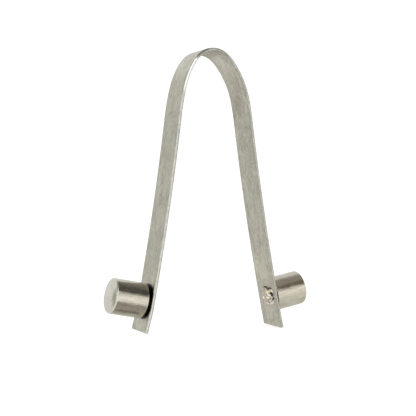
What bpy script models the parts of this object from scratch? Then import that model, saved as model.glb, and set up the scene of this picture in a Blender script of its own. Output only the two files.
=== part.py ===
"""Double snap-button spring clip.

A leaf spring bent into a narrow inverted U carries two round buttons that face
away from each other.  Pushed up inside a telescoping tube, the two buttons
spring out through opposite holes and lock the tube; pressing them in lets it
slide.  The real clip is three pieces: one bent strip of spring steel and two
turned, plated buttons, each with a tenon riveted through its leg.

The strip bends mostly where the curved crown runs into the straight legs, so
it is modelled as a crown and two legs that swing about that line.

Metres, +Z up towards the crown, +X and -X along the buttons, Y across the strip.
The origin is under the middle of the clip, level with the leg tips.
"""
import math

import bmesh
import bpy
from mathutils import Matrix, Vector

# ---------------------------------------------------------------- dimensions
STRIP_WIDTH = 0.0080          # across the strip, along Y
STRIP_THICKNESS = 0.0008
STRIP_HALF_LENGTH = 0.06976   # from the top of the crown to one leg tip
EDGE_ROUND = 0.00010          # broken edges of the blanked strip

# The strip's centre line, as bend radii met one after another on the way from
# the top of the crown to a leg tip.  Between them the bend eases linearly.
CROWN_RADIUS = 0.00537
CROWN_END = 0.00313           # the tight crown bend holds this far along
SHOULDER_RADIUS = 0.0187
SHOULDER_START = 0.0063
SHOULDER_END = 0.0097
LEG_START = 0.0211            # the leg begins here, and flexes about this line
LEG_BOW_RADIUS = 0.667        # the leg flares outwards very slightly

FLEX_GAP = 0.0003             # between the crown and a leg
RIVET_STATION = 0.06247       # button axis, along the centre line

BUTTON_DIAMETER = 0.0080
BUTTON_REACH = 0.0084         # from the leg's outer face to the button's end
BUTTON_STANDOFF = 0.00045     # the head stands this far off the leg
BUTTON_CHAMFER = 0.00040      # round the outer end
BUTTON_HEEL = 0.00028         # round the end next to the leg
NECK_DIAMETER = 0.0062        # the shoulder that seats on the leg
TENON_DIAMETER = 0.0040       # the pin through the leg
HOLE_DIAMETER = 0.0041
TAIL_DIAMETER = 0.0047        # the riveted tail inside the leg
TAIL_HEIGHT = 0.0008
SEAT_GAP = 0.00004            # round every face that touches the leg

TURNED_STEPS = 56
CENTRE_STEP = 0.0008          # spacing of points along the legs
CROWN_STEP = 0.0004           # spacing of points round the crown


# --------------------------------------------------------------- centre line
def bend(s):
    """Curvature of the centre line, s metres along from the top."""
    stations = (
        (0.0, 1.0 / CROWN_RADIUS),
        (CROWN_END, 1.0 / CROWN_RADIUS),
        (SHOULDER_START, 1.0 / SHOULDER_RADIUS),
        (SHOULDER_END, 1.0 / SHOULDER_RADIUS),
        (LEG_START, -1.0 / LEG_BOW_RADIUS),
        (1.0, -1.0 / LEG_BOW_RADIUS),
    )
    for (s0, k0), (s1, k1) in zip(stations, stations[1:]):
        if s <= s1:
            return k0 + (k1 - k0) * (s - s0) / (s1 - s0)
    return stations[-1][1]


def centre_line(length, step=0.00002):
    """Walk the centre line: (s, x, z, turn) from the top, apex at x = z = 0."""
    rows = [(0.0, 0.0, 0.0, 0.0)]
    count = int(round(length / step))
    x = z = turn = 0.0
    for i in range(count):
        s = (i + 0.5) * step
        half = bend(s) * step / 2
        turn += half
        x += math.cos(turn) * step
        z -= math.sin(turn) * step
        turn += half
        rows.append(((i + 1) * step, x, z, turn))
    return rows


LINE = centre_line(STRIP_HALF_LENGTH)
END_TURN = LINE[-1][3]
# the top of the centre line, with the leg tips' lower corners at z = 0
TOP_HEIGHT = -LINE[-1][2] + STRIP_THICKNESS / 2 * math.cos(END_TURN)


def at(s):
    """Point and turn of the right-hand centre line, s metres from the top."""
    i = min(int(s / 0.00002), len(LINE) - 2)
    a, b = LINE[i], LINE[i + 1]
    f = (s - a[0]) / (b[0] - a[0])
    x, z, turn = (a[j] + (b[j] - a[j]) * f for j in (1, 2, 3))
    return x, TOP_HEIGHT + z, turn


def stations(s0, s1, step):
    count = max(2, int(round((s1 - s0) / step)))
    return [s0 + (s1 - s0) * i / count for i in range(count + 1)]


# ------------------------------------------------------------------- helpers
def clear_scene():
    for obj in list(bpy.data.objects):
        bpy.data.objects.remove(obj, do_unlink=True)


def collection(name):
    col = bpy.data.collections.new(name)
    bpy.context.scene.collection.children.link(col)
    return col


def steel(name, colour, roughness):
    mat = bpy.data.materials.new(name)
    mat.use_nodes = True
    shader = mat.node_tree.nodes["Principled BSDF"]
    shader.inputs["Base Color"].default_value = (*colour, 1.0)
    shader.inputs["Metallic"].default_value = 1.0
    shader.inputs["Roughness"].default_value = roughness
    return mat


def ribbon(name, path, origin, col, mat):
    """An open strip surface: the path drawn out across the strip's width."""
    bm = bmesh.new()
    verts = [bm.verts.new((x - origin[0], STRIP_WIDTH / 2, z - origin[2]))
             for x, z in path]
    edges = [bm.edges.new(pair) for pair in zip(verts, verts[1:])]
    drawn = bmesh.ops.extrude_edge_only(bm, edges=edges)
    moved = [v for v in drawn["geom"] if isinstance(v, bmesh.types.BMVert)]
    bmesh.ops.translate(bm, verts=moved, vec=(0.0, -STRIP_WIDTH, 0.0))
    bmesh.ops.recalc_face_normals(bm, faces=bm.faces)
    mesh = bpy.data.meshes.new(name)
    bm.to_mesh(mesh)
    bm.free()
    obj = bpy.data.objects.new(name, mesh)
    col.objects.link(obj)
    mesh.materials.append(mat)
    obj.location = origin
    return obj


def thicken(obj):
    solid = obj.modifiers.new("thickness", "SOLIDIFY")
    solid.thickness = STRIP_THICKNESS
    solid.offset = 0.0
    solid.use_even_offset = True
    return solid


def break_edges(obj):
    edge = obj.modifiers.new("broken_edges", "BEVEL")
    edge.width = EDGE_ROUND
    edge.segments = 1
    edge.limit_method = "ANGLE"
    edge.angle_limit = math.radians(50)
    return edge


def shade(obj, degrees=35):
    mesh = obj.data
    mesh.shade_smooth()
    mesh.set_sharp_from_angle(angle=math.radians(degrees))


def turned(name, profile, col, mat):
    """A turned piece about its own Z: the profile runs down the outer side."""
    mesh = bpy.data.meshes.new(name)
    bm = bmesh.new()
    verts = [bm.verts.new((r, 0.0, z)) for r, z in profile]
    for pair in zip(verts, verts[1:]):
        bm.edges.new(pair)
    bm.to_mesh(mesh)
    bm.free()
    obj = bpy.data.objects.new(name, mesh)
    col.objects.link(obj)
    mesh.materials.append(mat)
    screw = obj.modifiers.new("turn", "SCREW")
    screw.axis = "Z"
    screw.angle = 2 * math.pi
    screw.steps = TURNED_STEPS
    screw.render_steps = TURNED_STEPS
    screw.use_merge_vertices = True
    screw.merge_threshold = 0.000001
    screw.use_smooth_shade = True
    return obj


# --------------------------------------------------------------- the pieces
def make_crown(col, mat):
    """The crown: half of the bend, mirrored about the middle of the clip."""
    path = [at(s)[:2] for s in stations(0.0, LEG_START - FLEX_GAP / 2, CROWN_STEP)]
    obj = ribbon("spring_bend", path, (0.0, 0.0, 0.0), col, mat)
    half = obj.modifiers.new("other_half", "MIRROR")
    half.use_axis = (True, False, False)
    half.merge_threshold = 0.00001
    thicken(obj)
    break_edges(obj)
    return obj


def pivot_of(side):
    x, z, turn = at(LEG_START)
    return Vector((side * x, 0.0, z))


def make_leg(name, side, pivot, col, mat, cutters):
    """One leg: a near-straight ribbon with the rivet hole through it."""
    path = [at(s)[:2] for s in
            stations(LEG_START + FLEX_GAP / 2, STRIP_HALF_LENGTH, CENTRE_STEP * 2)]
    obj = ribbon(name, [(side * x, z) for x, z in path], pivot, col, mat)
    thicken(obj)
    break_edges(obj)

    bpy.ops.mesh.primitive_cylinder_add(
        vertices=TURNED_STEPS, radius=HOLE_DIAMETER / 2, depth=STRIP_THICKNESS * 4)
    drill = bpy.context.object
    drill.name = name + "_drill"
    for old in list(drill.users_collection):
        old.objects.unlink(drill)
    cutters.objects.link(drill)
    drill.matrix_world = button_frame(side)
    drill.hide_render = True
    drill.display_type = "WIRE"
    hole = obj.modifiers.new("rivet_hole", "BOOLEAN")
    hole.operation = "DIFFERENCE"
    hole.solver = "EXACT"
    hole.object = drill
    return obj


def button_frame(side):
    """Button axis: from the leg's centre line straight out of its outer face."""
    x, z, turn = at(RIVET_STATION)
    out = Vector((side * math.sin(turn), 0.0, math.cos(turn)))
    across = Vector((0.0, 1.0, 0.0))
    third = out.cross(across)
    turn_to = Matrix((across, third, out)).transposed()
    if turn_to.determinant() < 0:
        turn_to = Matrix((across, -third, out)).transposed()
    return Matrix.Translation((side * x, 0.0, z)) @ turn_to.to_4x4()


def button_profile():
    """Radius and height of the button, from the middle of its outer end down
    to the middle of its riveted tail; height 0 is the middle of the leg."""
    face = STRIP_THICKNESS / 2
    top = face + BUTTON_REACH
    heel = face + BUTTON_STANDOFF
    seat = face + SEAT_GAP
    r = BUTTON_DIAMETER / 2
    points = [(0.0, top), (r - BUTTON_CHAMFER, top), (r, top - BUTTON_CHAMFER)]
    for i in range(4):
        a = i * math.pi / 6
        points.append((r - BUTTON_HEEL * (1 - math.cos(a)),
                       heel + BUTTON_HEEL * (1 - math.sin(a))))
    points += [(NECK_DIAMETER / 2, heel), (NECK_DIAMETER / 2, seat),
               (TENON_DIAMETER / 2, seat), (TENON_DIAMETER / 2, -seat)]
    # the tail: a low, rounded mushroom spread over the edge of the hole
    tail = TAIL_DIAMETER / 2
    for i in range(7):
        a = i * math.pi / 12
        points.append((tail * math.cos(a) ** 0.6 if i < 6 else 0.0,
                       -seat - TAIL_HEIGHT * math.sin(a)))
    return points


def make_button(name, side, col, mat):
    obj = turned(name, button_profile(), col, mat)
    obj.matrix_world = button_frame(side)
    return obj


def keep_place(obj, parent):
    """Parent a piece and leave it where it is."""
    bpy.context.view_layer.update()
    world = obj.matrix_world.copy()
    obj.parent = parent
    obj.matrix_parent_inverse = parent.matrix_world.inverted()
    obj.matrix_world = world


def main():
    clear_scene()
    parts = collection("double_button_spring_clip")
    cutters = collection("cutters")
    strip_steel = steel("spring_steel", (0.50, 0.49, 0.45), 0.36)
    crown_steel = strip_steel.copy()
    crown_steel.name = "spring_steel_crown"
    left_steel = strip_steel.copy()
    left_steel.name = "spring_steel_left"
    left_nickel = steel("nickel_left", (0.63, 0.58, 0.52), 0.20)
    right_nickel = left_nickel.copy()
    right_nickel.name = "nickel_right"

    shade(make_crown(parts, crown_steel))
    for side, tag, leg_mat, cap_mat in (
            (-1, "left", left_steel, left_nickel),
            (1, "right", strip_steel, right_nickel)):
        pivot = pivot_of(side)
        hinge = bpy.data.objects.new(tag + "_flex_line", None)
        hinge.empty_display_size = 0.004
        hinge.location = pivot
        parts.objects.link(hinge)
        bpy.context.view_layer.update()
        leg = make_leg(tag + "_leg", side, pivot, parts, leg_mat, cutters)
        shade(leg)
        keep_place(leg, hinge)
        button = make_button(tag + "_button", side, parts, cap_mat)
        keep_place(button, hinge)
    bpy.context.view_layer.update()


main()
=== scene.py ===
"""Looks of the double snap-button spring clip: the finished strip, the two plated
buttons and their riveted tails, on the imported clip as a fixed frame."""
import math

import bpy
import bmesh
import numpy as np
from mathutils import Matrix, Vector, noise


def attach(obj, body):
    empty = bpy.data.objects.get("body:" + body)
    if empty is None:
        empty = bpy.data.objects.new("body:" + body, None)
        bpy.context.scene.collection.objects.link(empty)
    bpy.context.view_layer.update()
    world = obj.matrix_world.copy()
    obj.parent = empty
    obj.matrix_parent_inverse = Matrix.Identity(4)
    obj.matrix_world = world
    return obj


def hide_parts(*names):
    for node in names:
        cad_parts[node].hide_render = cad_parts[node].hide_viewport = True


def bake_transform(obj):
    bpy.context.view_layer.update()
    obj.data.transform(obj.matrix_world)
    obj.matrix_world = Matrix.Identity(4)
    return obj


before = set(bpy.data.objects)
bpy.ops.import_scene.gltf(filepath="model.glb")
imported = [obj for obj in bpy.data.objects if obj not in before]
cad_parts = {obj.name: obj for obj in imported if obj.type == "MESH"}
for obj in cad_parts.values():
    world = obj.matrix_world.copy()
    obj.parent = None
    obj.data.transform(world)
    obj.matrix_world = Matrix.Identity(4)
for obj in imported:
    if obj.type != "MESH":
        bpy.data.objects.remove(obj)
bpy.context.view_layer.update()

# ------------------------------------------------------------ dimensions (m)
STRIP_WIDTH = 0.0082
STRIP_THICKNESS = 0.0008
STRIP_HALF_LENGTH = 0.06976
CROWN_RADIUS = 0.00537
CROWN_END = 0.00313
SHOULDER_RADIUS = 0.0187
SHOULDER_START = 0.0063
SHOULDER_END = 0.0097
LEG_START = 0.0211
LEG_BOW_RADIUS = 0.667
RIVET_STATION = 0.06247
RIVET_DRIFT = {-1: 0.00003, 1: -0.00010}   # how far off it each rivet really sits
BUTTON_RADIUS = 0.00408
NECK_RADIUS = 0.0031
TENON_RADIUS = 0.0020
HOLE_RADIUS = 0.00205
SEAT_GAP = 0.00004
FLEX_ZONE = 0.0080            # half the stretch of strip that bends at a joint
CROWN_LEAN = 0.00045          # how far the crown leans to the left
HEAD_LENGTH = 0.0080          # one head, heel to end
# how much longer each end is cut, mm: at the middle, and per mm toward the back
END_CUT = {-1: (-0.34, -0.0275), 1: (0.14, -0.035)}
TIP_SET = {-1: 0.00030, 1: 0.0}   # how far each tip is set outward under its rivet
# how far the heel of each head is rounded, out and up
HEEL_ROUND = {-1: (0.00036, 0.00032), 1: (0.00018, 0.00014)}
# the two rivets are not set equally hard: one head stands a little farther off
STANDOFF = {-1: 0.00056, 1: 0.00014}
# where each spread tail lies on the inner face, mm: across, up the leg, half sizes
TAIL_SPREAD = {-1: (-0.20, 0.10, 2.45, 2.30), 1: (-0.85, 0.06, 2.90, 2.44)}
# distance round the section (mm) of the middle of each face and of the edge's line
OUTER_MID, INNER_MID, EDGE_LINE = 4.191, 13.084, 8.86

MM = 0.001


# --------------------------------------------------------------- centre line
def bend(s):
    rows = ((0.0, 1 / CROWN_RADIUS), (CROWN_END, 1 / CROWN_RADIUS),
            (SHOULDER_START, 1 / SHOULDER_RADIUS), (SHOULDER_END, 1 / SHOULDER_RADIUS),
            (LEG_START, -1 / LEG_BOW_RADIUS), (1.0, -1 / LEG_BOW_RADIUS))
    for (s0, k0), (s1, k1) in zip(rows, rows[1:]):
        if s <= s1:
            return k0 + (k1 - k0) * (s - s0) / (s1 - s0)
    return rows[-1][1]


def centre_line():
    step = 0.00002
    rows = [(0.0, 0.0, 0.0, 0.0)]
    x = z = turn = 0.0
    for i in range(int(round(STRIP_HALF_LENGTH / step))):
        half = bend((i + 0.5) * step) * step / 2
        turn += half
        x += math.cos(turn) * step
        z -= math.sin(turn) * step
        turn += half
        rows.append(((i + 1) * step, x, z, turn))
    line = np.array(rows)
    line[:, 2] += -line[-1, 2] + STRIP_THICKNESS / 2 * math.cos(line[-1, 3])
    return line


LINE = centre_line()


def at(s):
    """x, z and turn of the right-hand centre line; arrays or numbers."""
    return tuple(np.interp(s, LINE[:, 0], LINE[:, i]) for i in (1, 2, 3))


# ----------------------------------------------------------------- utilities
def fbm(p, octaves=3, rough=0.5):
    """Smooth repeatable noise, about -1 to 1."""
    total, size = 0.0, 1.0
    q = Vector(p)
    for _ in range(octaves):
        total += noise.noise(q) * size
        q = q * 2.03 + Vector((13.1, 7.7, 3.3))
        size *= rough
    return total


def mesh_object(name, verts, faces, mat=None, smooth=True, sharp=38):
    mesh = bpy.data.meshes.new(name)
    mesh.from_pydata([tuple(v) for v in verts], [], [tuple(f) for f in faces])
    mesh.validate()
    mesh.update()
    obj = bpy.data.objects.new(name, mesh)
    bpy.context.scene.collection.objects.link(obj)
    if mat is not None:
        mesh.materials.append(mat)
    if smooth:
        mesh.shade_smooth()
        mesh.set_sharp_from_angle(angle=math.radians(sharp))
    return obj


class Nodes:
    """A few short cuts for writing a material's node tree."""

    def __init__(self, name):
        self.mat = bpy.data.materials.new(name)
        self.mat.use_nodes = True
        self.tree = self.mat.node_tree
        self.shader = self.tree.nodes["Principled BSDF"]

    def node(self, kind, **settings):
        made = self.tree.nodes.new(kind)
        for key, value in settings.items():
            setattr(made, key, value)
        return made

    def link(self, a, b):
        self.tree.links.new(a, b)

    def put(self, socket, value):
        if isinstance(value, bpy.types.NodeSocket):
            self.link(value, socket)
        else:
            socket.default_value = value

    def mapping(self, vector, scale, offset=(0, 0, 0)):
        m = self.node("ShaderNodeMapping")
        self.link(vector, m.inputs["Vector"])
        m.inputs["Scale"].default_value = scale
        m.inputs["Location"].default_value = offset
        return m.outputs["Vector"]

    def noise(self, vector, scale=1.0, detail=3.0, rough=0.5, dims="3D", distortion=0.0):
        n = self.node("ShaderNodeTexNoise", noise_dimensions=dims)
        self.link(vector, n.inputs["Vector"])
        n.inputs["Scale"].default_value = scale
        n.inputs["Detail"].default_value = detail
        n.inputs["Roughness"].default_value = rough
        n.inputs["Distortion"].default_value = distortion
        return n.outputs["Fac"]

    def span(self, value, a, b, c, d, smooth=False):
        m = self.node("ShaderNodeMapRange")
        m.interpolation_type = "SMOOTHSTEP" if smooth else "LINEAR"
        m.clamp = True
        self.link(value, m.inputs["Value"])
        for key, v in (("From Min", a), ("From Max", b), ("To Min", c), ("To Max", d)):
            m.inputs[key].default_value = v
        return m.outputs["Result"]

    def math(self, op, a, b=0.0, c=0.0):
        m = self.node("ShaderNodeMath", operation=op)
        self.put(m.inputs[0], a)
        self.put(m.inputs[1], b)
        if op in {"MULTIPLY_ADD", "SMOOTH_MIN"}:
            self.put(m.inputs[2], c)
        return m.outputs[0]

    def mix(self, fac, a, b, blend="MIX"):
        m = self.node("ShaderNodeMix", data_type="RGBA", blend_type=blend)
        m.clamp_factor = True
        self.put(m.inputs[0], fac)
        self.put(m.inputs[6], a if isinstance(a, bpy.types.NodeSocket) else (*a, 1.0))
        self.put(m.inputs[7], b if isinstance(b, bpy.types.NodeSocket) else (*b, 1.0))
        return m.outputs[2]

    def bump(self, height, strength, distance, normal=None):
        b = self.node("ShaderNodeBump")
        self.link(height, b.inputs["Height"])
        b.inputs["Strength"].default_value = strength
        b.inputs["Distance"].default_value = distance
        if normal is not None:
            self.link(normal, b.inputs["Normal"])
        return b.outputs["Normal"]


# ----------------------------------------------------------------- materials
# All patterns are laid out in millimetres on UV maps: u along the strip or the
# button's axis, v across the strip or round the button.
def rolled_steel(name, light, dark, rough):
    """Cold-rolled, tumbled strip: lengthwise grain, soft mottling, stains and
    small pits, and near-black painted shade in the crevice under each button
    and beside each rivet tail."""
    n = Nodes(name)
    uv = n.node("ShaderNodeUVMap", uv_map="grain").outputs["UV"]
    broad = n.noise(n.mapping(uv, (0.070, 0.95, 1.0), (2.0, 3.0, 0)), 1.0, 3.0, 0.62, "2D")
    grain = n.noise(n.mapping(uv, (0.22, 3.1, 1.0)), 1.0, 4.0, 0.62, "2D")
    hair = n.noise(n.mapping(uv, (0.8, 34.0, 1.0), (3.1, 9.0, 0)), 1.0, 2.0, 0.5, "2D")
    cloud = n.noise(n.mapping(uv, (0.24, 0.34, 1.0), (11.0, 4.0, 0)), 1.0, 5.0, 0.70, "2D", 0.8)
    fleck = n.noise(n.mapping(uv, (1.1, 1.9, 1.0), (5.0, 2.0, 0)), 1.0, 4.0, 0.66, "2D")
    speck = n.noise(n.mapping(uv, (3.4, 5.2, 1.0), (1.0, 6.0, 0)), 1.0, 2.0, 0.55, "2D")
    tone = n.math("MULTIPLY_ADD", n.span(grain, 0.30, 0.70, 0.0, 1.0), 0.15,
                  n.math("MULTIPLY", n.span(cloud, 0.34, 0.66, 0.0, 1.0), 0.36))
    tone = n.math("MULTIPLY_ADD", n.span(fleck, 0.32, 0.68, 0.0, 1.0), 0.34, tone)
    tone = n.math("MULTIPLY_ADD", n.span(broad, 0.33, 0.67, 0.0, 1.0), 0.15, tone)
    colour = n.mix(tone, dark, light)
    # a faint green and rose cast that drifts over the surface
    cast = n.noise(n.mapping(uv, (0.35, 0.7, 1.0), (23.0, 31.0, 0)), 1.0, 4.0, 0.6, "2D")
    colour = n.mix(n.span(cast, 0.50, 0.66, 0.0, 0.55), colour, (0.95, 1.0, 0.90), "MULTIPLY")
    colour = n.mix(n.span(cast, 0.50, 0.34, 0.0, 0.55), colour, (1.0, 0.945, 0.90), "MULTIPLY")
    # hairline scratches, light and dark
    scratch = n.noise(n.mapping(uv, (0.10, 9.0, 1.0), (41.0, 17.0, 0)), 1.0, 2.0, 0.4, "2D")
    colour = n.mix(n.span(scratch, 0.66, 0.74, 0.0, 0.28, smooth=True), colour, tuple(c * 1.35 for c in light))
    colour = n.mix(n.span(scratch, 0.34, 0.26, 0.0, 0.28, smooth=True), colour, tuple(c * 0.60 for c in dark))
    # small dark pits
    pits = n.span(speck, 0.71, 0.79, 0.0, 0.55, smooth=True)
    colour = n.mix(pits, colour, tuple(c * 0.42 for c in dark))
    # places on the strip, from the apex along it and round its section
    axes = n.node("ShaderNodeSeparateXYZ")
    n.link(uv, axes.inputs[0])
    along, round_at = axes.outputs["X"], axes.outputs["Y"]

    def spot(u0, v0, ru, rv, solid, edge, rag=0.35):
        """1 inside an ellipse, ragged at its border."""
        du = n.math("DIVIDE", n.math("SUBTRACT", along, u0), ru)
        dv = n.math("DIVIDE", n.math("SUBTRACT", round_at, v0), rv)
        d = n.math("SQRT", n.math("ADD", n.math("MULTIPLY", du, du), n.math("MULTIPLY", dv, dv)))
        d = n.math("MULTIPLY_ADD", n.math("SUBTRACT", fleck, 0.5), rag * 2, d)
        return n.span(d, solid, edge, 1.0, 0.0, smooth=True)

    # handling stains: (distance, round, half length, half width, strength, tint)
    for u0, v0, ru, rv, k, tint in (
            (15.6, INNER_MID + 0.6, 4.2, 2.4, 0.95, (0.86, 0.845, 0.80)),
            (18.4, INNER_MID + 2.9, 2.0, 0.8, 0.70, (0.88, 0.87, 0.83)),
            (11.5, INNER_MID - 1.0, 5.5, 2.6, 0.60, (0.93, 0.91, 0.87)),
            (30.0, INNER_MID + 2.4, 9.0, 1.9, 0.90, (1.10, 1.10, 1.10)),
            (55.5, INNER_MID + 0.4, 6.0, 5.5, 0.90, (1.13, 1.12, 1.09)),
            (24.5, INNER_MID - 1.5, 6.0, 1.6, 0.60, (1.07, 1.08, 1.07)),
            (-6.0, OUTER_MID + 0.5, 6.2, 7.5, 1.00, (1.29, 1.31, 1.33)),
            (-9.6, OUTER_MID, 2.6, 2.2, 0.80, (1.05, 1.02, 0.92)),
            (3.4, INNER_MID + 1.2, 3.2, 3.0, 0.80, (1.20, 1.21, 1.21)),
            (-27.0, OUTER_MID - 1.4, 4.2, 1.8, 0.60, (0.93, 0.91, 0.88)),
            (-46.0, OUTER_MID + 0.4, 8.0, 3.4, 0.60, (0.96, 0.955, 0.93)),
            (-67.6, OUTER_MID - 0.5, 2.8, 3.4, 1.00, (1.14, 1.16, 1.17)),
            (-57.5, OUTER_MID + 2.0, 1.8, 1.3, 0.80, (1.12, 1.12, 1.08)),
            (42.0, OUTER_MID + 1.0, 7.0, 2.0, 0.50, (0.93, 0.92, 0.89)),
            (-38.0, INNER_MID - 1.0, 6.5, 2.2, 0.50, (0.93, 0.92, 0.89))):
        mask = n.math("MULTIPLY", spot(u0, v0, ru, rv, 0.25, 1.1), k)
        colour = n.mix(mask, colour, tint, "MULTIPLY")
    # painted shade: near black round the button's seat on the outer face, where the gap under the head lies in shadow
    ring = n.math("SUBTRACT", n.math("ABSOLUTE", along), RIVET_STATION / MM)
    across = n.math("SUBTRACT", round_at, OUTER_MID + 0.45)
    away = n.math("SQRT", n.math("ADD", n.math("MULTIPLY", ring, ring), n.math("MULTIPLY", across, across)))
    away = n.math("MULTIPLY_ADD", n.math("SUBTRACT", fleck, 0.5), 0.7, away)
    shade_and_blotch = n.span(away, 3.90, 4.30, 0.96, 0.0, smooth=True)
    colour = n.mix(shade_and_blotch, colour, (0.012, 0.009, 0.011))
    # and painted shade, dark brown, beside the spread end of each rivet on the inner face
    for u0, v0, ru, rv, k in ((61.9, INNER_MID - 3.0, 1.5, 0.8, 0.90), (60.6, INNER_MID - 0.6, 0.7, 1.9, 0.75),
                              (-61.9, INNER_MID - 2.3, 1.6, 0.5, 0.60)):
        mask = n.math("MULTIPLY", spot(u0, v0, ru, rv, 0.45, 1.05, 0.6), k)
        colour = n.mix(mask, colour, (0.050, 0.036, 0.022))
    n.link(colour, n.shader.inputs["Base Color"])
    n.shader.inputs["Metallic"].default_value = 1.0
    r = n.math("MULTIPLY_ADD", n.span(grain, 0.3, 0.7, 0.0, 1.0), 0.08,
               n.math("MULTIPLY_ADD", n.span(cloud, 0.3, 0.7, 0.0, 1.0), 0.10, rough - 0.10))
    n.link(r, n.shader.inputs["Roughness"])
    relief = n.math("MULTIPLY_ADD", grain, 0.6, n.math("MULTIPLY", hair, 0.3))
    norm = n.bump(relief, 0.45, 0.00003)
    norm = n.bump(fleck, 0.45, 0.00009, norm)
    norm = n.bump(n.math("SUBTRACT", 1.0, pits), 0.5, 0.00002, norm)
    n.link(norm, n.shader.inputs["Normal"])
    return n.mat


def sheared_steel(name, light, dark, rough):
    """The blanked edge: a burnished band and a torn band, scored across, with a
    painted highlight over the crown's left shoulder, painted shade at the apex
    and a darker right half."""
    n = Nodes(name)
    uv = n.node("ShaderNodeUVMap", uv_map="grain").outputs["UV"]
    score = n.noise(n.mapping(uv, (4.2, 0.5, 1.0)), 1.0, 4.0, 0.66, "2D")
    cloud = n.noise(n.mapping(uv, (0.5, 1.4, 1.0), (2.0, 5.0, 0)), 1.0, 4.0, 0.6, "2D")
    torn = n.noise(n.mapping(uv, (1.8, 4.0, 1.0), (8.0, 1.0, 0)), 1.0, 4.0, 0.65, "2D")
    tone = n.math("MULTIPLY_ADD", n.span(score, 0.3, 0.7, 0.0, 1.0), 0.50,
                  n.math("MULTIPLY", n.span(cloud, 0.3, 0.7, 0.0, 1.0), 0.50))
    colour = n.mix(tone, dark, light)
    axes = n.node("ShaderNodeSeparateXYZ")
    n.link(uv, axes.inputs[0])
    along = n.math("MULTIPLY_ADD", n.math("SUBTRACT", cloud, 0.5), 2.4, axes.outputs["X"])
    # painted shade: the edge is coloured darker over the right half of the strip
    right_half_shaded = n.mix(1.0, colour, (0.78, 0.77, 0.74), "MULTIPLY")
    colour = n.mix(n.span(along, -1.2, 1.2, 0.0, 1.0, smooth=True), colour, right_half_shaded)
    # painted shade: darker again just right of the apex
    apex_shade = n.math("MULTIPLY", n.span(along, -0.2, 0.8, 0.0, 1.0), n.span(along, 3.0, 5.5, 1.0, 0.0))
    colour = n.mix(apex_shade, colour, (0.74, 0.74, 0.72), "MULTIPLY")
    # painted highlight: the edge is coloured white over the left shoulder of the crown
    colour = n.mix(n.math("MULTIPLY", n.span(along, -14.4, -12.8, 0.0, 1.0, smooth=True),
                          n.span(along, -5.2, -4.5, 1.0, 0.0, smooth=True)), colour, (1.0, 1.0, 1.0))
    # painted shade: a near-black band on the edge just left of the apex
    shade = n.math("MULTIPLY", n.span(along, -5.2, -4.5, 0.0, 0.90, smooth=True),
                   n.span(along, -1.6, 0.2, 1.0, 0.0, smooth=True))
    shade = n.math("MULTIPLY", shade, n.span(axes.outputs["Y"], EDGE_LINE - 0.30, EDGE_LINE - 0.14, 1.0, 0.15))
    colour = n.mix(shade, colour, (0.075, 0.07, 0.075))
    # a dull thin line where the section turns from burnished to torn
    line = n.math("ABSOLUTE", n.math("SUBTRACT", axes.outputs["Y"], EDGE_LINE))
    line = n.math("MULTIPLY_ADD", n.math("SUBTRACT", torn, 0.5), 0.22, line)
    colour = n.mix(n.span(line, 0.05, 0.12, 0.55, 0.0, smooth=True), colour, tuple(c * 0.42 for c in dark))
    n.link(colour, n.shader.inputs["Base Color"])
    n.shader.inputs["Metallic"].default_value = 1.0
    n.link(n.span(torn, 0.3, 0.7, rough - 0.05, rough + 0.10), n.shader.inputs["Roughness"])
    norm = n.bump(score, 0.40, 0.00004)
    norm = n.bump(torn, 0.35, 0.00005, norm)
    n.link(norm, n.shader.inputs["Normal"])
    return n.mat


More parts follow.
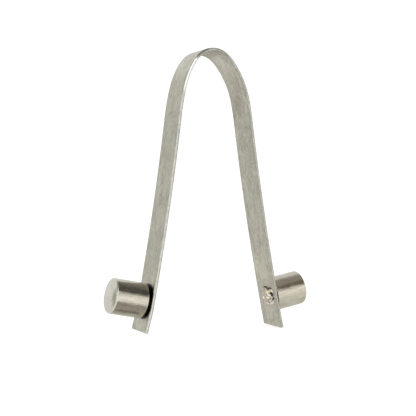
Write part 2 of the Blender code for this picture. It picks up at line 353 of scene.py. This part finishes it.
def nickel(name, light, dark, rough, along=1.0, painted_end_shading=False):
    """Bright plate over a drawn and turned surface: fine streaks along the
    axis, fainter rings round it, soft tarnish and a few pits."""
    n = Nodes(name)
    uv = n.node("ShaderNodeUVMap", uv_map="grain").outputs["UV"]
    broad = n.noise(n.mapping(uv, (0.12, 1.15, 1.0), (6.0, 2.0, 0)), 1.0, 3.0, 0.62, "2D")
    streak = n.noise(n.mapping(uv, (0.26, 3.6, 1.0)), 1.0, 4.0, 0.66, "2D")
    hair = n.noise(n.mapping(uv, (0.9, 18.0, 1.0), (4.0, 1.0, 0)), 1.0, 2.0, 0.5, "2D")
    ring = n.noise(n.mapping(uv, (16.0, 0.35, 1.0), (7.0, 3.0, 0)), 1.0, 2.0, 0.5, "2D")
    cloud = n.noise(n.mapping(uv, (0.40, 0.60, 1.0), (1.0, 8.0, 0)), 1.0, 5.0, 0.66, "2D")
    speck = n.noise(n.mapping(uv, (2.6, 4.2, 1.0), (9.0, 2.0, 0)), 1.0, 2.0, 0.5, "2D")
    tone = n.math("MULTIPLY_ADD", n.span(streak, 0.3, 0.7, 0.0, 1.0), 0.36 * along + 0.10,
                  n.math("MULTIPLY", n.span(cloud, 0.34, 0.66, 0.0, 1.0), 0.54 - 0.20 * along))
    tone = n.math("MULTIPLY_ADD", n.span(broad, 0.34, 0.66, 0.0, 1.0), 0.20, tone)
    colour = n.mix(tone, dark, light)
    pits = n.span(speck, 0.70, 0.78, 0.0, 0.6, smooth=True)
    colour = n.mix(pits, colour, tuple(c * 0.4 for c in dark))
    if painted_end_shading:
        # painted shade and light on the end face: a greyer patch toward its front with a brownish painted reflection
        # beside it, and a lighter patch at the back
        axes = n.node("ShaderNodeSeparateXYZ")
        n.link(uv, axes.inputs[0])
        x, y = axes.outputs["X"], axes.outputs["Y"]
        for x0, y0, rx, ry, k, tint in ((-2.9, 25.2, 1.4, 2.4, 1.00, (0.52, 0.515, 0.48)),
                                        (-3.3, 26.9, 0.6, 1.1, 0.85, (0.76, 0.70, 0.58)),
                                        (1.2, 24.0, 2.6, 3.2, 0.45, (1.08, 1.08, 1.06))):
            for shift in (-40.0, 40.0):
                du = n.math("DIVIDE", n.math("SUBTRACT", x, x0 + shift), rx)
                dv = n.math("DIVIDE", n.math("SUBTRACT", y, y0), ry)
                d = n.math("SQRT", n.math("ADD", n.math("MULTIPLY", du, du), n.math("MULTIPLY", dv, dv)))
                d = n.math("MULTIPLY_ADD", n.math("SUBTRACT", cloud, 0.5), 1.4, d)
                colour = n.mix(n.math("MULTIPLY", n.span(d, 0.2, 1.2, 1.0, 0.0, smooth=True), k),
                               colour, tint, "MULTIPLY")
    n.link(colour, n.shader.inputs["Base Color"])
    n.shader.inputs["Metallic"].default_value = 1.0
    r = n.math("MULTIPLY_ADD", n.span(streak, 0.3, 0.7, 0.0, 1.0), 0.07,
               n.math("MULTIPLY_ADD", n.span(cloud, 0.3, 0.7, 0.0, 1.0), 0.07, rough - 0.07))
    n.link(r, n.shader.inputs["Roughness"])
    relief = n.math("MULTIPLY_ADD", streak, 0.60 * along,
                    n.math("MULTIPLY_ADD", hair, 0.15 * along, n.math("MULTIPLY", ring, 0.12)))
    relief = n.math("MULTIPLY_ADD", broad, 0.9 * along, relief)
    norm = n.bump(relief, 0.35, 0.00004)
    norm = n.bump(cloud, 0.35, 0.00012, norm)
    norm = n.bump(n.math("SUBTRACT", 1.0, pits), 0.5, 0.00002, norm)
    n.link(norm, n.shader.inputs["Normal"])
    return n.mat


def crevice_metal(name):
    """The shoulder and neck under a head, coloured near black as painted shade of the gap between head and strip."""
    n = Nodes(name)
    pos = n.node("ShaderNodeTexCoord").outputs["Object"]
    mottle = n.noise(pos, 1400.0, 4.0, 0.65)
    n.link(n.mix(n.span(mottle, 0.35, 0.65, 0.0, 1.0), (0.016, 0.012, 0.015), (0.075, 0.062, 0.055)),
           n.shader.inputs["Base Color"])
    n.shader.inputs["Metallic"].default_value = 0.9
    n.link(n.span(mottle, 0.3, 0.7, 0.35, 0.60), n.shader.inputs["Roughness"])
    n.link(n.bump(mottle, 0.3, 0.00005), n.shader.inputs["Normal"])
    return n.mat


def peened_metal(name, light, beige, glint_gold, dark):
    """The riveted tail: dull beige lumps, painted glints in gilt, cream and white,
    and painted shade, near black, in the hollows, the notch and the gouge.
    Laid out in millimetres across the tail."""
    n = Nodes(name)
    uv = n.node("ShaderNodeUVMap", uv_map="grain").outputs["UV"]
    axes = n.node("ShaderNodeSeparateXYZ")
    n.link(uv, axes.inputs[0])
    x, y = axes.outputs["X"], axes.outputs["Y"]
    facet = n.node("ShaderNodeTexVoronoi", voronoi_dimensions="2D")
    facet.feature = "F1"
    n.link(uv, facet.inputs["Vector"])
    facet.inputs["Scale"].default_value = 2.1
    shade_and_blotch = n.noise(uv, 1.5, 4.0, 0.66, "2D")
    tint = n.noise(uv, 1.1, 3.0, 0.6, "2D")
    fine = n.noise(uv, 4.5, 3.0, 0.6, "2D")
    colour = n.mix(n.span(tint, 0.40, 0.60, 0.0, 1.0), beige, light)
    colour = n.mix(n.span(fine, 0.55, 0.68, 0.0, 0.75, smooth=True), colour, tuple(c * 0.45 for c in beige))

    def patch(x0, y0, rx, ry, rag):
        du = n.math("DIVIDE", n.math("SUBTRACT", x, x0), rx)
        dv = n.math("DIVIDE", n.math("SUBTRACT", y, y0), ry)
        d = n.math("SQRT", n.math("ADD", n.math("MULTIPLY", du, du), n.math("MULTIPLY", dv, dv)))
        d = n.math("MULTIPLY_ADD", n.math("SUBTRACT", shade_and_blotch, 0.5), rag * 2, d)
        return n.span(d, 0.55, 1.1, 1.0, 0.0, smooth=True)

    # painted glints: gilt patches across the middle of the tail
    for x0, y0, rx, ry in ((-1.06, 1.05, 0.62, 0.30), (-2.05, 1.16, 0.66, 0.30), (-3.15, 1.38, 0.55, 0.32)):
        colour = n.mix(patch(x0, y0, rx, ry, 0.35), colour, glint_gold)
    # painted shade: dark brown patches in the lower hollows and at the top
    for x0, y0, rx, ry in ((-1.80, -0.72, 0.50, 0.30), (-0.85, -1.05, 0.30, 0.22), (-1.15, -1.62, 0.34, 0.24),
                           (0.35, 2.20, 0.70, 0.28)):
        colour = n.mix(patch(x0, y0, rx, ry, 0.35), colour, tuple(0.13 + 2.2 * c for c in dark))
    # painted shade: near black in the notch at the upper side and the gouge toward the front
    for x0, y0, rx, ry in ((-0.45, 2.12, 0.85, 0.32), (-1.25, 1.78, 0.85, 0.32), (-2.20, 1.98, 0.80, 0.30),
                           (-2.95, 1.96, 0.50, 0.26), (-2.80, 0.76, 0.72, 0.40), (-3.00, 0.38, 0.80, 0.56),
                           (-3.25, -0.38, 0.42, 0.50)):
        colour = n.mix(patch(x0, y0, rx, ry, 0.30), colour, dark)
    # painted highlights: cream patches on the lower lumps
    for x0, y0, rx, ry in ((1.12, -1.75, 0.52, 0.34), (-0.48, -1.86, 0.42, 0.28), (-1.51, -1.12, 0.46, 0.24),
                           (0.98, -0.42, 0.38, 0.28), (-0.95, -0.42, 0.40, 0.24), (-2.30, -1.72, 0.34, 0.24)):
        colour = n.mix(patch(x0, y0, rx, ry, 0.35), colour, (0.93, 0.90, 0.80))
    # painted highlights: two white glints
    for x0, y0 in ((-1.42, 0.48), (-1.88, 0.18)):
        colour = n.mix(patch(x0, y0, 0.38, 0.30, 0.3), colour, (0.99, 0.98, 0.95))
    n.link(colour, n.shader.inputs["Base Color"])
    n.shader.inputs["Metallic"].default_value = 1.0
    n.link(n.span(shade_and_blotch, 0.4, 0.65, 0.18, 0.45), n.shader.inputs["Roughness"])
    norm = n.bump(facet.outputs["Distance"], 0.45, 0.00012)
    norm = n.bump(fine, 0.5, 0.00008, norm)
    n.link(norm, n.shader.inputs["Normal"])
    return n.mat


STRIP_LIGHT, STRIP_DARK = (0.610, 0.588, 0.498), (0.230, 0.218, 0.178)
EDGE_LIGHT, EDGE_DARK = (0.80, 0.80, 0.75), (0.42, 0.42, 0.385)
CAP_LIGHT, CAP_DARK = (0.76, 0.73, 0.635), (0.50, 0.47, 0.385)
END_LIGHT, END_DARK = (0.69, 0.67, 0.59), (0.53, 0.515, 0.44)

face_metal = rolled_steel("rolled_spring_steel", STRIP_LIGHT, STRIP_DARK, 0.34)
edge_metal = sheared_steel("sheared_spring_steel", EDGE_LIGHT, EDGE_DARK, 0.16)
cap_metal = nickel("bright_nickel", CAP_LIGHT, CAP_DARK, 0.15)
end_metal = nickel("bright_nickel_end", END_LIGHT, END_DARK, 0.24, along=0.3, painted_end_shading=True)
neck_metal = crevice_metal("shoulder_painted_shade")
# tail colours: light and beige tone, gilt for the painted glints, near black for the painted shade
tail_metal = peened_metal("peened_nickel", (0.76, 0.71, 0.60), (0.47, 0.42, 0.33), (0.96, 0.84, 0.54),
                          (0.045, 0.030, 0.014))


# ----------------------------------------------------------------- the strip
def strip_section():
    """Closed outline of the strip's cross-section: (y, h) from the outer face's
    front corner round; h is along the outward normal.  The outer edge is the
    punch's rolled-over side, the inner one keeps a small burr-side corner."""
    half, th = STRIP_WIDTH / 2, STRIP_THICKNESS / 2
    r_out, r_in = 0.00016, 0.00009
    pts = []

    def arc(cy, ch, r, a0, a1, n, kind):
        for i in range(n + 1):
            a = math.radians(a0 + (a1 - a0) * i / n)
            pts.append((cy + r * math.cos(a), ch + r * math.sin(a), kind))

    def run(y0, h0, y1, h1, n, kind):
        for i in range(1, n):
            f = i / n
            pts.append((y0 + (y1 - y0) * f, h0 + (h1 - h0) * f, kind))

    arc(half - r_out, th - r_out, r_out, 0, 90, 5, "corner")
    run(half - r_out, th, -half + r_out, th, 22, "face")
    arc(-half + r_out, th - r_out, r_out, 90, 180, 5, "corner")
    run(-half, th - r_out, -half, -th + r_in, 5, "edge")
    arc(-half + r_in, -th + r_in, r_in, 180, 270, 4, "corner")
    run(-half + r_in, -th, half - r_in, -th, 22, "face")
    arc(half - r_in, -th + r_in, r_in, 270, 360, 4, "corner")
    run(half, -th + r_in, half, th - r_out, 5, "edge")
    return pts


def strip_half(name, side):
    section = strip_section()
    count = len(section)
    near = [0.0, 0.00001, 0.00005, 0.00012]
    body = list(np.arange(0.00025, STRIP_HALF_LENGTH - 0.00030, 0.00025))
    tip = [STRIP_HALF_LENGTH - d for d in (0.00022, 0.00014, 0.00010, 0.00006, 0.00002, 0.0)]
    rows = near + body + tip
    verts, uvs = [], []
    # distance round the section, for the grain map
    around = [0.0]
    for (y0, h0, _), (y1, h1, _) in zip(section, section[1:] + section[:1]):
        around.append(around[-1] + math.hypot(y1 - y0, h1 - h0))
    for s in rows:
        x, z, turn = at(s)
        out = Vector((side * math.sin(turn), 0.0, math.cos(turn)))
        along = Vector((side * math.cos(turn), 0.0, -math.sin(turn)))
        # the crown was bent a shade to the left of the middle
        lean = min(1.0, max(0.0, (s - 0.003) / 0.013))
        lean = CROWN_LEAN * (1 - lean * lean * (3 - 2 * lean))
        base = Vector((side * x - lean, 0.0, z))
        low = min(1.0, max(0.0, (s - 0.0640) / 0.0056))
        low = low * low * (3 - 2 * low)
        base += out * (TIP_SET[side] * low)
        cut_row = min(1.0, max(0.0, (s - STRIP_HALF_LENGTH + 0.0030) / 0.0028))
        # the sheared end is very slightly rounded
        left = STRIP_HALF_LENGTH - s
        inset = 0.0
        if left < 0.00010:
            inset = 0.00010 * (1 - math.sqrt(max(0.0, 1 - (1 - left / 0.00010) ** 2)))
        signed = side * s / MM
        for y, h, kind in section:
            yy = y - math.copysign(min(inset, abs(y)), y)
            hh = h - math.copysign(min(inset, abs(h)), h)
            # the width wanders a little and the edges carry small nicks
            edge = max(0.0, (abs(y) - 0.0035) / 0.0006)
            wander = fbm((signed * 0.16, math.copysign(5.0, y), 0.0), 3) * 0.00004
            nick = fbm((signed * 1.7, math.copysign(9.0, y), h / MM * 1.2), 3, 0.6) * 0.000022
            deep = max(0.0, fbm((signed * 0.85, math.copysign(17.0, y), 2.0), 2) - 0.42) * 0.00022
            yy += math.copysign(edge * (wander + nick - deep), y)
            # the faces are rolled, with shallow dents
            hh += (fbm((signed * 0.35, y / MM * 0.5, math.copysign(3.0, h)), 3) * 0.000007
                   + fbm((signed * 1.6, y / MM * 1.9, math.copysign(7.0, h)), 2) * 0.0000022)
            # a ragged sheared end
            slip = (END_CUT[side][0] * MM + END_CUT[side][1] * y) * cut_row
            if left < 0.0004:
                slip += fbm((y / MM * 1.1, 4.0 * side, h / MM), 3) * 0.00003
            verts.append(base + out * hh + along * slip + Vector((0.0, yy, 0.0)))
        uvs.append(signed)
    faces, kinds, face_uv = [], [], []
    last = len(rows) - 1
    for i in range(last):
        for j in range(count):
            k = (j + 1) % count
            quad = [i * count + j, i * count + k, (i + 1) * count + k, (i + 1) * count + j]
            uv = [(uvs[i], around[j]), (uvs[i], around[j + 1]),
                  (uvs[i + 1], around[j + 1]), (uvs[i + 1], around[j])]
            if side > 0:
                quad.reverse()
                uv.reverse()
            faces.append(quad)
            kinds.append(1 if "edge" in (section[j][2], section[k][2]) else 0)
            face_uv.append([(u, v / MM) for u, v in uv])
    for i, turned in ((0, side > 0), (last, side < 0)):
        ring = [i * count + j for j in range(count)]
        uv = [(uvs[i] + section[j][1] / MM, section[j][0] / MM) for j in range(count)]
        if not turned:
            ring.reverse()
            uv.reverse()
        faces.append(ring)
        kinds.append(1)
        face_uv.append(uv)
    obj = mesh_object(name, verts, faces, face_metal, sharp=50)
    mesh = obj.data
    mesh.materials.append(edge_metal)
    layer = mesh.uv_layers.new(name="grain")
    for poly in mesh.polygons:
        poly.material_index = kinds[poly.index]
        for loop, uv in zip(poly.loop_indices, face_uv[poly.index]):
            layer.data[loop].uv = uv
    return obj


def button_axes(side):
    x, z, turn = (float(v) for v in at(RIVET_STATION + RIVET_DRIFT[side]))
    out = Vector((side * math.sin(turn), 0.0, math.cos(turn)))
    across = Vector((0.0, 1.0, 0.0))
    third = out.cross(across)
    return Matrix.Translation((side * x, 0.0, z)) @ Matrix((across, third, out)).transposed().to_4x4()


def drill(obj, side):
    """Cuts the rivet hole through a finished half of the strip."""
    bpy.ops.mesh.primitive_cylinder_add(vertices=72, radius=HOLE_RADIUS, depth=0.003)
    cutter = bpy.context.object
    cutter.data.materials.append(edge_metal)
    cutter.matrix_world = button_axes(side)
    bpy.context.view_layer.update()
    cut = obj.modifiers.new("hole", "BOOLEAN")
    cut.operation, cut.solver, cut.object = "DIFFERENCE", "EXACT", cutter
    graph = bpy.context.evaluated_depsgraph_get()
    done = bpy.data.meshes.new_from_object(obj.evaluated_get(graph), depsgraph=graph)
    obj.modifiers.clear()
    old = obj.data
    obj.data = done
    done.name = obj.name
    bpy.data.meshes.remove(old)
    bpy.data.objects.remove(cutter, do_unlink=True)
    done.shade_smooth()
    done.set_sharp_from_angle(angle=math.radians(50))


# --------------------------------------------------------------- the buttons
def spun(name, side, profile, steps, shape, mats, bands):
    """A turned piece: profile rows of (r, h, u), spun about the button's axis.
    shape(r, h, a) may nudge a point; bands gives each row's material."""
    frame_m = button_axes(side)
    verts, faces, face_uv, kinds = [], [], [], []
    top = profile[0][0] < 1e-9
    end = profile[-1][0] < 1e-9
    index = []
    for k, (r, h, u) in enumerate(profile):
        if (k == 0 and top) or (k == len(profile) - 1 and end):
            rr, hh = shape(0.0, h, 0.0)
            index.append([len(verts)])
            verts.append(frame_m @ Vector((0.0, 0.0, hh)))
            continue
        row = []
        for i in range(steps):
            a = 2 * math.pi * i / steps
            rr, hh = shape(r, h, a)
            row.append(len(verts))
            verts.append(frame_m @ Vector((rr * math.cos(a), rr * math.sin(a), hh)))
        index.append(row)

    def uv_of(k, i):
        r, h, u = profile[k]
        return (u / MM, i / steps * 2 * math.pi * BUTTON_RADIUS / MM)

    for k in range(len(profile) - 1):
        a_row, b_row = index[k], index[k + 1]
        for i in range(steps):
            j = (i + 1) % steps
            if len(a_row) == 1:
                faces.append((a_row[0], b_row[i], b_row[j]))
                face_uv.append(None)
            elif len(b_row) == 1:
                faces.append((a_row[j], a_row[i], b_row[0]))
                face_uv.append(None)
            else:
                faces.append((a_row[j], a_row[i], b_row[i], b_row[j]))
                face_uv.append((uv_of(k, i + 1), uv_of(k, i), uv_of(k + 1, i), uv_of(k + 1, i + 1)))
            kinds.append(bands(k))
    obj = mesh_object(name, verts, faces, None, sharp=34)
    mesh = obj.data
    for mat in mats:
        mesh.materials.append(mat)
    layer = mesh.uv_layers.new(name="grain")
    inverse = frame_m.inverted()
    for poly in mesh.polygons:
        poly.material_index = kinds[poly.index]
        uv = face_uv[poly.index]
        flat = uv is None or kinds[poly.index] == 1
        for n, loop in enumerate(poly.loop_indices):
            if flat:
                p = inverse @ mesh.vertices[mesh.loops[loop].vertex_index].co
                layer.data[loop].uv = (p.x / MM + 40 * side, p.y / MM + 25)
            else:
                layer.data[loop].uv = (uv[n][0] + 60 * side, uv[n][1])
    return obj


def arc_rows(cr, ch, rad_r, rad_h, a0, a1, n):
    return [(cr + rad_r * math.cos(math.radians(a0 + (a1 - a0) * i / n)),
             ch + rad_h * math.sin(math.radians(a0 + (a1 - a0) * i / n))) for i in range(n + 1)]


def button_head(name, side, seed):
    """Head, seating shoulder and tenon of one button."""
    face = STRIP_THICKNESS / 2
    heel = face + STANDOFF[side]
    top, seat = heel + HEAD_LENGTH, face + SEAT_GAP
    r, dome = BUTTON_RADIUS, 0.00016
    rows = [(0.0, top + dome)]
    rows += [(0.0036 * i / 18, top + dome * (1 - (i / 18) ** 2)) for i in range(1, 18)]
    rows += arc_rows(r - 0.00042, top - 0.00040, 0.00042, 0.00040, 88, 0, 12)
    ease, rise = HEEL_ROUND[side]
    rows += [(r, top - 0.0004 - (top - 0.0004 - heel - rise) * i / 40) for i in range(1, 40)]
    rows += arc_rows(r - ease, heel + rise, ease, rise, 0, -90, 8)
    # from this row to the end of the neck the head takes the near-black painted shade; on the left head it starts three
    # rows up the heel's rounding
    shade_from_row = len(rows) - (3 if side < 0 else 0)
    rows += [(0.0034, heel + 0.00001), (NECK_RADIUS + 0.00002, heel)]
    rows += [(NECK_RADIUS, heel - 0.00003), (NECK_RADIUS, (heel + seat) / 2), (NECK_RADIUS, seat + 0.00004),
             (NECK_RADIUS - 0.00005, seat), (TENON_RADIUS, seat), (TENON_RADIUS, 0.0),
             (TENON_RADIUS, -face - 0.00003), (0.0, -face - 0.00003)]
    profile, u = [], 0.0
    for k, (rr, hh) in enumerate(rows):
        if k:
            u += math.hypot(rr - rows[k - 1][0], hh - rows[k - 1][1])
        profile.append((rr, hh, u))
    flat_until = 18 + 4

    def shape(rr, hh, a):
        if hh < heel + 0.00002:
            return rr, hh
        c, s = math.cos(a), math.sin(a)
        ding = fbm((c * 1.1 + seed, s * 1.1, hh / MM * 0.35), 3) * 0.000016
        rim = math.exp(-((hh - top) / 0.0006) ** 2) * math.exp(-((rr - r) / 0.0006) ** 2)
        ding -= max(0.0, fbm((c * 4 + seed * 3, s * 4, hh / MM), 2) - 0.30) * 0.00012 * rim
        lift = fbm((rr / MM * c * 0.5, rr / MM * s * 0.5, seed + 4), 3) * 0.000016 if hh > top - 0.0004 else 0.0
        return (rr + ding if rr > 0.0005 else rr), hh + lift

    return spun(name, side, profile, 160, shape, (cap_metal, end_metal, neck_metal),
                lambda k: 1 if k < flat_until else (2 if shade_from_row <= k < len(rows) - 4 else 0))


def rivet_tail(name, side, seed):
    """The tail spread over the inner face: ragged hammered lumps round a hollow,
    with one deep notch at its upper side and a gouge toward the front."""
    face = STRIP_THICKNESS / 2
    base = -face - 0.00001
    rings, steps = 40, 144
    frame_m = button_axes(side)
    verts, faces, flat = [], [], []

    # the metal was struck over to one side: centre and half sizes in mm
    cx, cy, rx_mm, ry_mm = TAIL_SPREAD[side]

    def height(x, y, q):
        """x across the strip, y up the leg (mm from the rivet's centre)."""
        p = (x * 0.62 + seed, y * 0.62, 1.7 * seed)
        body = 0.46 + 0.22 * math.exp(-((q - 0.60) / 0.25) ** 2)
        body += fbm(p, 2) * 0.42 + fbm((p[0] * 2.9, p[1] * 2.9, seed), 2) * 0.30
        body += (noise.cell(Vector((x * 1.5 + seed * 7, y * 1.5 + 50, seed))) - 0.5) * 0.16
        for x0, y0, rx, ry, deep in ((-1.50, 1.98, 1.60, 0.40, 0.65), (-3.00, 0.40, 0.60, 0.8, 0.55),
                                     (-1.75, -0.72, 0.45, 0.32, 0.35)):
            body -= deep * math.exp(-((x - x0) / rx) ** 2 - ((y - y0) / ry) ** 2)
        for x0, y0, rx, ry, tall in ((-1.9, 1.15, 1.20, 0.28, 0.35), (-1.6, 0.35, 0.50, 0.38, 0.30),
                                     (1.1, -1.70, 0.5, 0.4, 0.28), (-0.5, -1.80, 0.5, 0.35, 0.25)):
            body += tall * math.exp(-((x - x0) / rx) ** 2 - ((y - y0) / ry) ** 2)
        fall = 1.0 if q < 0.74 else max(0.0, 1 - ((q - 0.74) / 0.26) ** 2.2)
        return 0.00062 * max(0.05, min(1.2, body)) * (0.05 + 0.95 * fall)

    def rim(a):
        """A point of the rim, seen from the strip's inner face."""
        c, s = math.cos(a), math.sin(a)
        k = (1 + 0.07 * math.sin(2 * a) ** 2 + 0.07 * fbm((c * 1.3 + seed, s * 1.3, 9.0), 3) + 0.05 * fbm((c * 5 + seed, s * 5, 2.0), 2))
        return rx_mm * MM * k * c, ry_mm * MM * k * s

    def put(x, y, h):
        x, y = x + cx * MM, y + cy * MM * side
        verts.append(frame_m @ Vector((x, y, h)))
        flat.append((x / MM, y / MM * side))

    put(0.0, 0.0, base - height(cx, cy, 0.0))
    for k in range(1, rings + 1):
        q = k / rings
        for i in range(steps):
            x, y = (q * v for v in rim(2 * math.pi * i / steps))
            put(x, y, base - height(x / MM + cx, y / MM * side + cy, q))
    # the underside of the rim stands just off the strip and runs in to the hole
    for rad_f, drop in ((0.985, 0.00002), (0.90, 0.0)):
        for i in range(steps):
            x, y = (rad_f * v for v in rim(2 * math.pi * i / steps))
            put(x, y, base - drop)
    put(0.0, 0.0, base)
    rows = rings + 2

    def ring(k, i):
        return 1 + (k - 1) * steps + i % steps

    for i in range(steps):
        faces.append((0, ring(1, i + 1), ring(1, i)))
        for k in range(1, rows):
            faces.append((ring(k, i), ring(k, i + 1), ring(k + 1, i + 1), ring(k + 1, i)))
        faces.append((ring(rows, i), ring(rows, i + 1), len(verts) - 1))
    obj = mesh_object(name, verts, faces, tail_metal, sharp=50)
    layer = obj.data.uv_layers.new(name="grain")
    for loop in obj.data.loops:
        layer.data[loop.index].uv = flat[loop.vertex_index]
    return obj


for side, tag in ((-1, "left"), (1, "right")):
    arm = tag + "_arm"
    half = strip_half("spring_strip_" + tag, side)
    drill(half, side)
    # the centre line at the top and at the foot of the flex zone
    above, below = at(LEG_START - FLEX_ZONE), at(LEG_START + FLEX_ZONE)
    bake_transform(half)
    if side < 0:
        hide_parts("spring_bend", "left_leg")
    else:
        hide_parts("right_leg")
    head = button_head(tag + "_button_head", side, 2.3 + side)
    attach(head, arm)
    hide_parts(tag + "_button")
    tail = rivet_tail(tag + "_rivet_tail", side, 5.1 + 1.9 * side)
    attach(tail, arm)


# ------------------------------------------------------- floor, light, camera
def stage_floor():
    bpy.ops.mesh.primitive_plane_add(size=6.0, location=(0, 0, -0.00031))
    floor = bpy.context.object
    floor.name = "studio_floor"
    n = Nodes("pale_floor")
    n.shader.inputs["Base Color"].default_value = (0.30, 0.30, 0.30, 1)
    n.shader.inputs["Emission Color"].default_value = (1, 1, 1, 1)
    n.shader.inputs["Emission Strength"].default_value = 0.76
    n.shader.inputs["Roughness"].default_value = 0.9
    n.shader.inputs["Specular IOR Level"].default_value = 0.1
    floor.data.materials.append(n.mat)
    floor.visible_glossy = False


def studio_world():
    """White round the back and below, a bright front, a dark band overhead in
    front: a white sweep and a soft window in a darker room."""
    world = bpy.data.worlds.new("studio")
    bpy.context.scene.world = world
    world.use_nodes = True
    tree = world.node_tree
    tree.nodes.clear()

    def add(kind, **kw):
        node = tree.nodes.new(kind)
        for k, v in kw.items():
            setattr(node, k, v)
        return node

    link = tree.links.new
    coord = add("ShaderNodeTexCoord")
    parts = add("ShaderNodeSeparateXYZ")
    link(coord.outputs["Generated"], parts.inputs[0])
    front = add("ShaderNodeMath", operation="MULTIPLY")
    link(parts.outputs["Y"], front.inputs[0])
    front.inputs[1].default_value = -1.0
    angle = add("ShaderNodeMath", operation="ARCTAN2")     # 0 front, 90 up, -90 down
    link(parts.outputs["Z"], angle.inputs[0])
    link(front.outputs[0], angle.inputs[1])
    turn = add("ShaderNodeMapRange")
    link(angle.outputs[0], turn.inputs["Value"])
    for key, v in (("From Min", -math.pi), ("From Max", math.pi), ("To Min", 0.0), ("To Max", 1.0)):
        turn.inputs[key].default_value = v

    def ramp(stops):
        r = add("ShaderNodeValToRGB")
        link(turn.outputs["Result"], r.inputs[0])
        r.color_ramp.interpolation = "EASE"
        e = r.color_ramp.elements
        while len(e) > 1:
            e.remove(e[-1])
        for k, (deg, level, tint) in enumerate(stops):
            spot = e[0] if k == 0 else e.new((deg + 180) / 360)
            spot.position = (deg + 180) / 360
            spot.color = (level * tint[0], level * tint[1], level * tint[2], 1)
        return r.outputs["Color"]

    white, warm, brown = (1, 1, 1), (1, 0.985, 0.96), (1, 0.93, 0.84)
    olive, cream = (1, 0.98, 0.94), (1, 0.975, 0.93)
    near = ramp(((-180, 0.76, cream), (-150, 0.70, cream), (-114, 0.54, cream), (-102, 0.32, brown), (-92, 0.20, brown),
                 (-80, 0.36, brown), (-39, 0.37, brown), (-22, 1.04, white), (-4, 1.16, white),
                 (12, 1.12, white), (25, 0.55, olive), (37, 0.085, olive), (55, 0.075, olive), (80, 0.10, olive),
                 (104, 0.085, olive), (117, 0.62, white), (140, 0.84, white), (180, 0.98, white)))
    far = ramp(((-180, 0.70, cream), (-100, 0.70, cream), (-40, 0.84, cream), (-4, 0.98, cream),
                (12, 0.95, cream), (24, 0.72, brown), (35, 0.22, (1, 0.80, 0.56)), (49, 0.25, (1, 0.86, 0.68)),
                (63, 0.35, (1, 0.92, 0.83)), (88, 0.33, (1, 0.93, 0.84)), (97, 0.42, (1, 0.94, 0.86)), (112, 0.80, white), (180, 0.94, white)))
    back_wall = ramp(((-180, 0.91, white), (-160, 1.00, white), (-120, 0.95, white), (-60, 1.0, white),
                      (0, 1.25, white), (42, 1.25, white), (62, 0.35, white), (105, 0.40, white), (135, 0.95, white),
                      (160, 0.97, white), (180, 0.91, white)))
    # which button a direction belongs to: the two fan out from x = 0.42, the
    # near one to the high side above the horizon and the low side under it
    fan = add("ShaderNodeMath", operation="SUBTRACT")
    link(parts.outputs["X"], fan.inputs[0])
    fan.inputs[1].default_value = 0.42
    rise = add("ShaderNodeMapRange")
    link(parts.outputs["Z"], rise.inputs["Value"])
    for key, v in (("From Min", -1 / 6), ("From Max", 1 / 6), ("To Min", -1.0), ("To Max", 1.0)):
        rise.inputs[key].default_value = v
    signed = add("ShaderNodeMath", operation="MULTIPLY")
    link(fan.outputs[0], signed.inputs[0])
    link(rise.outputs["Result"], signed.inputs[1])

    def smooth(value, a, b):
        s = add("ShaderNodeMapRange", interpolation_type="SMOOTHSTEP")
        link(value, s.inputs["Value"])
        for key, v in (("From Min", a), ("From Max", b), ("To Min", 0.0), ("To Max", 1.0)):
            s.inputs[key].default_value = v
        return s.outputs["Result"]

    def blend(fac, a, b):
        m = add("ShaderNodeMix", data_type="RGBA")
        link(fac, m.inputs[0])
        link(a, m.inputs[6])
        link(b, m.inputs[7])
        return m.outputs[2]

    both = blend(smooth(signed.outputs[0], -0.04, 0.04), far, near)
    both = blend(smooth(parts.outputs["X"], 0.04, 0.17), back_wall, both)
    sides = ramp(((-180, 0.92, white), (180, 0.92, white)))
    both = blend(smooth(parts.outputs["X"], 0.70, 0.86), both, sides)
    both = blend(smooth(parts.outputs["X"], -0.72, -0.90), both, sides)
    path = add("ShaderNodeLightPath")
    # what lights the floor and what the camera sees is plain white
    show = add("ShaderNodeMix", data_type="RGBA")
    link(path.outputs["Is Glossy Ray"], show.inputs[0])
    show.inputs[6].default_value = (1.1, 1.1, 1.1, 1)
    link(both, show.inputs[7])
    back = add("ShaderNodeBackground")
    link(show.outputs[2], back.inputs["Color"])
    out = add("ShaderNodeOutputWorld")
    link(back.outputs[0], out.inputs["Surface"])


def camera():
    yaw, pitch, roll = (math.radians(a) for a in (26.04224, -0.31741, -0.18061))
    look = Vector((math.sin(yaw) * math.cos(pitch), math.cos(yaw) * math.cos(pitch), math.sin(pitch)))
    r0 = Vector((math.cos(yaw), -math.sin(yaw), 0.0))
    u0 = r0.cross(look)
    right = r0 * math.cos(roll) + u0 * math.sin(roll)
    up = -r0 * math.sin(roll) + u0 * math.cos(roll)
    data = bpy.data.cameras.new("view")
    data.sensor_width = 36.0
    data.lens = 36.0 * 1053.694 / 416.0
    data.clip_start = 0.005
    cam = bpy.data.objects.new("view", data)
    bpy.context.scene.collection.objects.link(cam)
    top = float(LINE[0, 2])
    m = Matrix((right, up, -look)).transposed().to_4x4()
    m.translation = Vector((-0.109084, -0.222829, top - 0.0353887))
    cam.matrix_world = m
    bpy.context.scene.camera = cam


stage_floor()
studio_world()
camera()
bpy.context.scene.view_settings.view_transform = "Standard"
